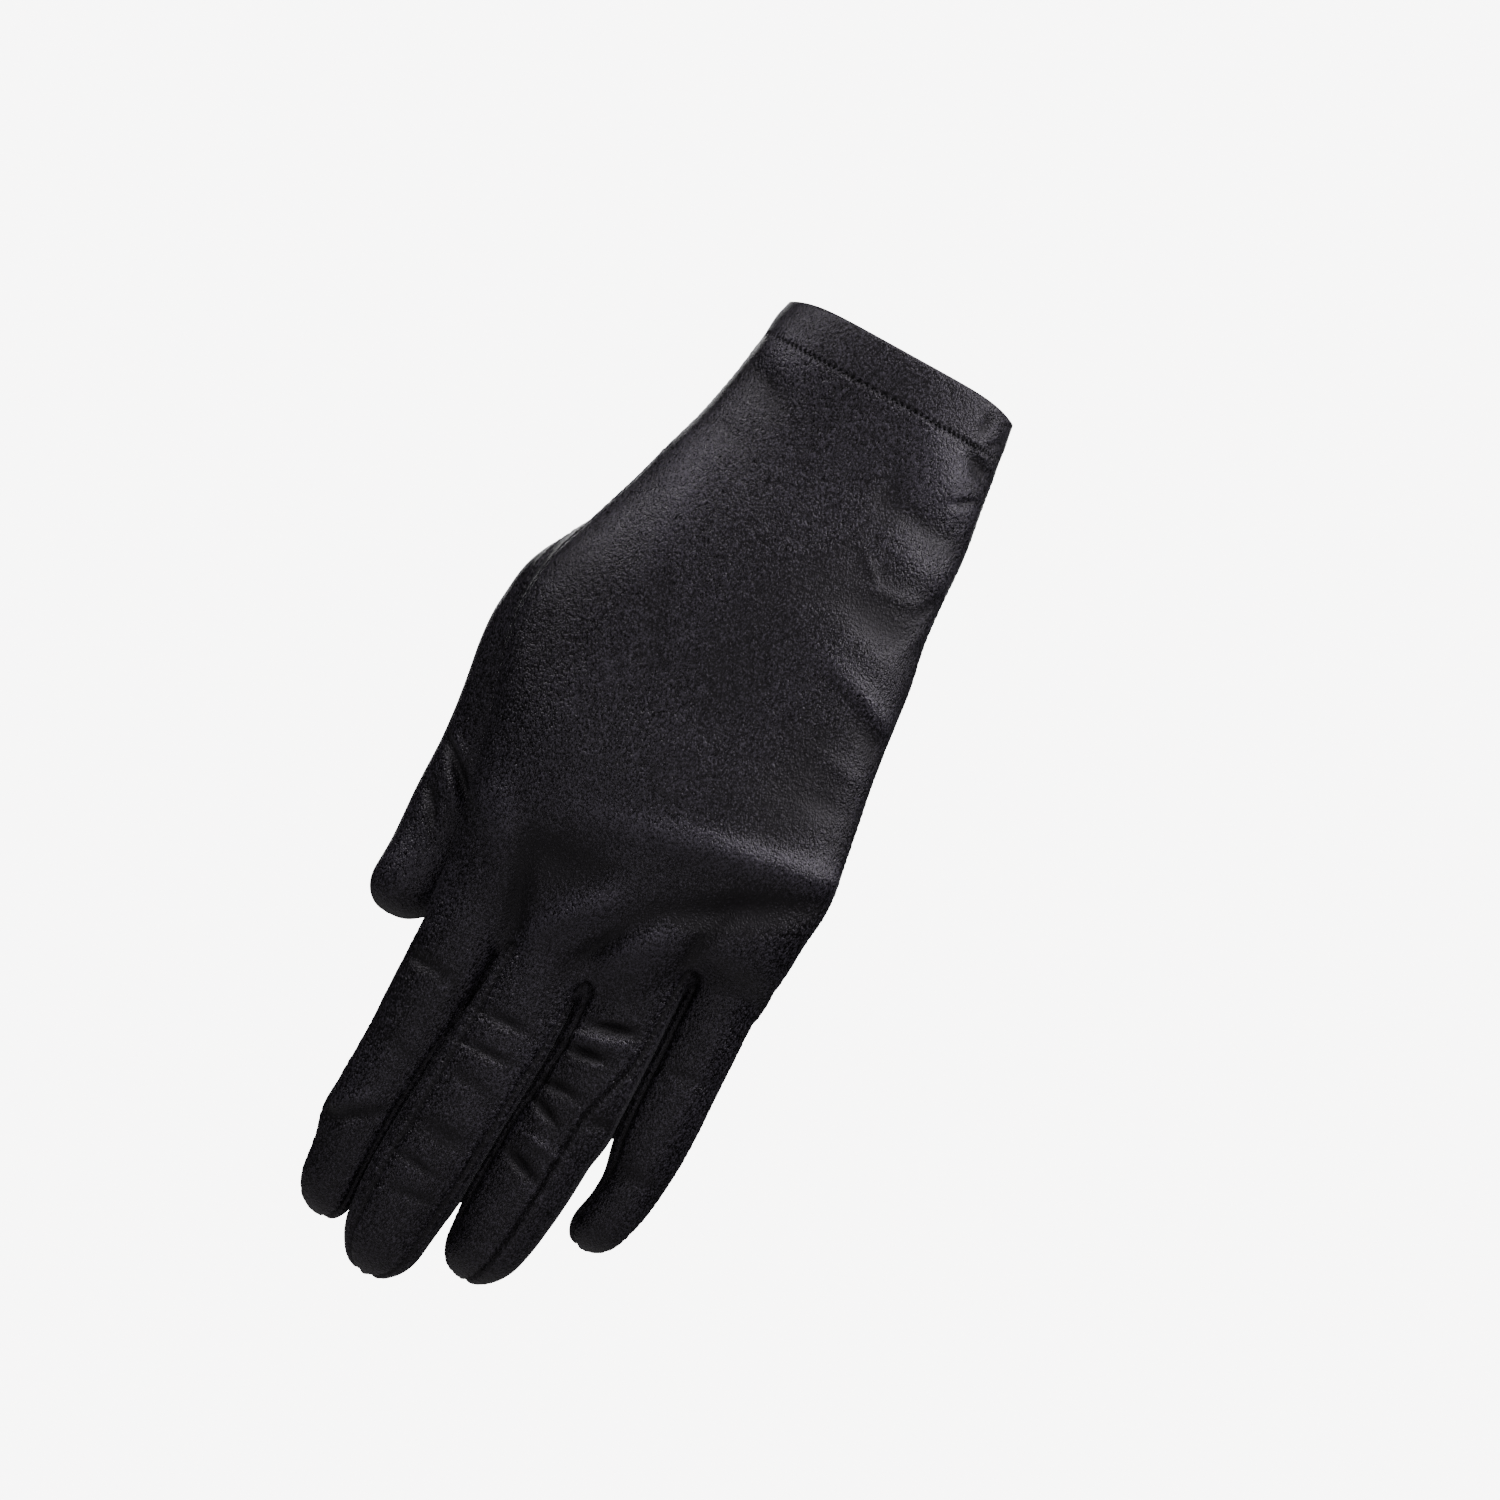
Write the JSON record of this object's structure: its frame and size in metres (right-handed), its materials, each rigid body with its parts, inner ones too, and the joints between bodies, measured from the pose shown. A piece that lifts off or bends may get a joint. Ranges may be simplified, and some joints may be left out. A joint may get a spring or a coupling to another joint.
{
  "type": "wrist length dress glove",
  "caption": "Wrist length dress glove of stretch satin: a hollow left hand glove with a set-in thumb, fourchettes between the fingers and a turned hem.",
  "frame": {"origin": "centre of the wrist opening, at the rim", "axes": "+Z out of the wrist opening along the forearm; the fingers hang along -Z, the back of the hand faces -Y and the thumb is on the -X side"},
  "size_m": [0.0924, 0.0533, 0.226],
  "materials": {
    "panel_satin": "black stretch satin with a soft sheen",
    "fourchette_satin": "black stretch satin with a soft sheen",
    "hem_satin": "black stretch satin, turned and stitched"
  },
  "bodies": {
    "root": {"back_panel": "panel_satin", "palm_panel": "panel_satin", "thumb_piece": "panel_satin", "fourchette_index_middle": "fourchette_satin", "fourchette_middle_ring": "fourchette_satin", "fourchette_ring_little": "fourchette_satin", "wrist_hem": "hem_satin"}
  },
  "joints": []
}
